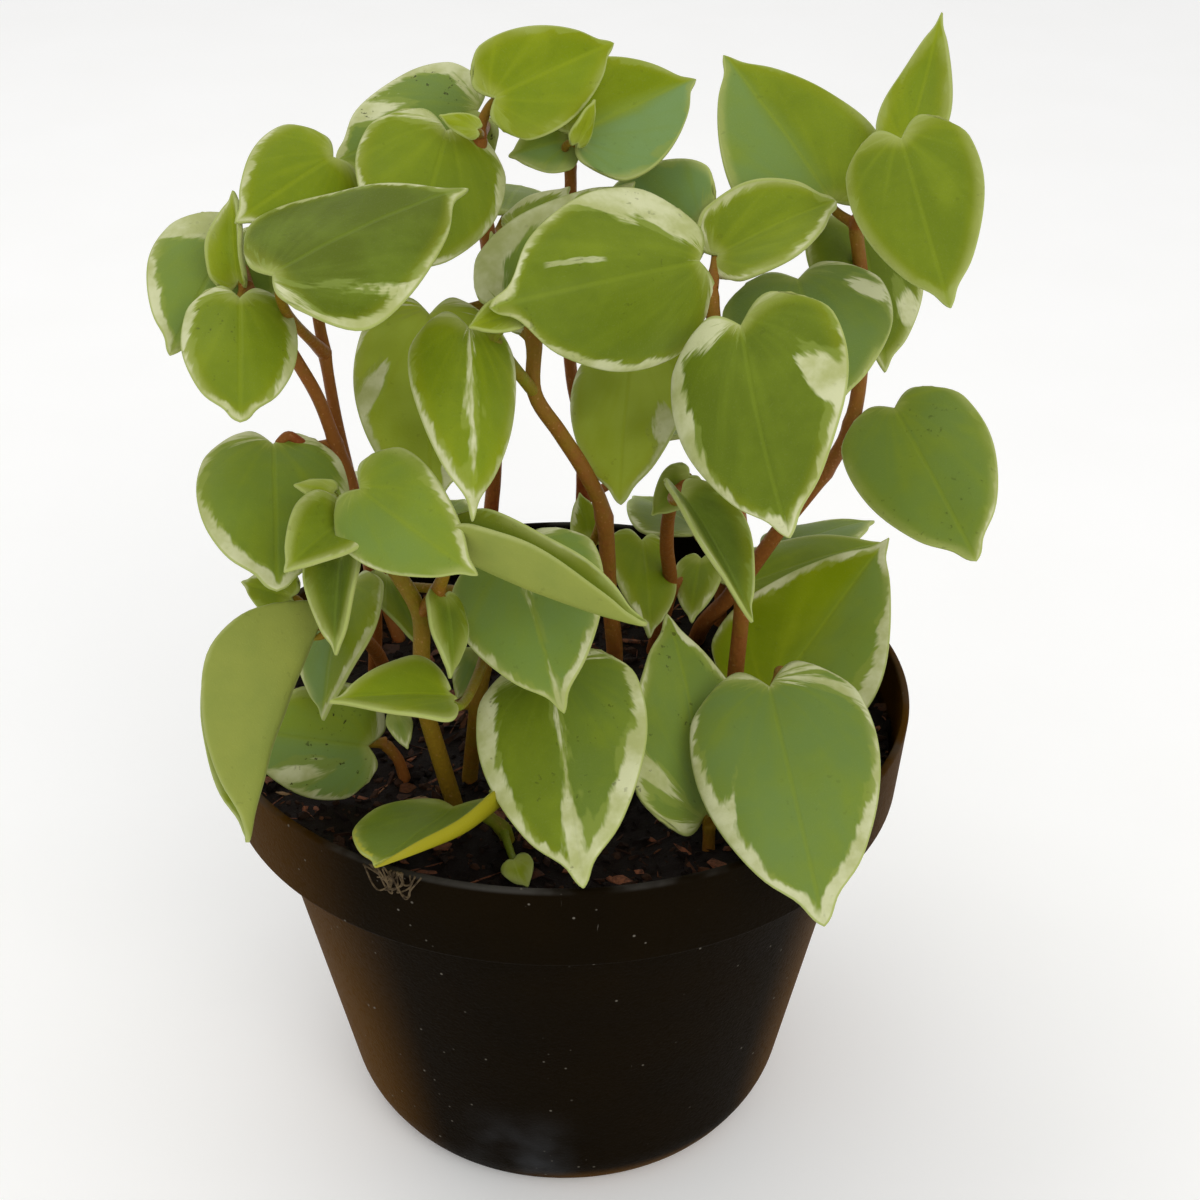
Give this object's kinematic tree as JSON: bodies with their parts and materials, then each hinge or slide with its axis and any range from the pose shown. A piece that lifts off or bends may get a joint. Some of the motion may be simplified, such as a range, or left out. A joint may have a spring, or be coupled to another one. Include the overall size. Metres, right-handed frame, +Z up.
{
  "type": "potted peperomia",
  "caption": "Small round nursery pot filled with soil, with a bushy houseplant of heart-shaped waxy leaves on forking stems.",
  "frame": {"origin": "centre of the pot's base, on the plane it stands on", "axes": "+Z up along the pot's axis, -Y towards the side seen in the picture, +X to that view's right"},
  "size_m": [0.137, 0.139, 0.1932],
  "materials": {
    "pot": "thin black moulded plastic, slightly shiny, dusty",
    "soil": "moist dark potting mix with bark chips",
    "leaf": "waxy living leaves, green with cream margins, on red-brown stems"
  },
  "bodies": {
    "root": {"pot": "pot", "soil": "soil", "stem_front_left": "leaf", "stem_front_middle": "leaf", "stem_left": "leaf", "stem_left_low": "leaf", "leaf_low_left": "leaf", "stem_rim_front": "leaf", "stem_back_left": "leaf", "stem_back_middle": "leaf", "stem_centre": "leaf", "stem_centre_right": "leaf", "stem_right": "leaf", "stem_far_right": "leaf", "stem_right_low": "leaf", "leaf_front": "leaf", "stem_back_right": "leaf", "stem_back_low": "leaf"}
  },
  "joints": []
}
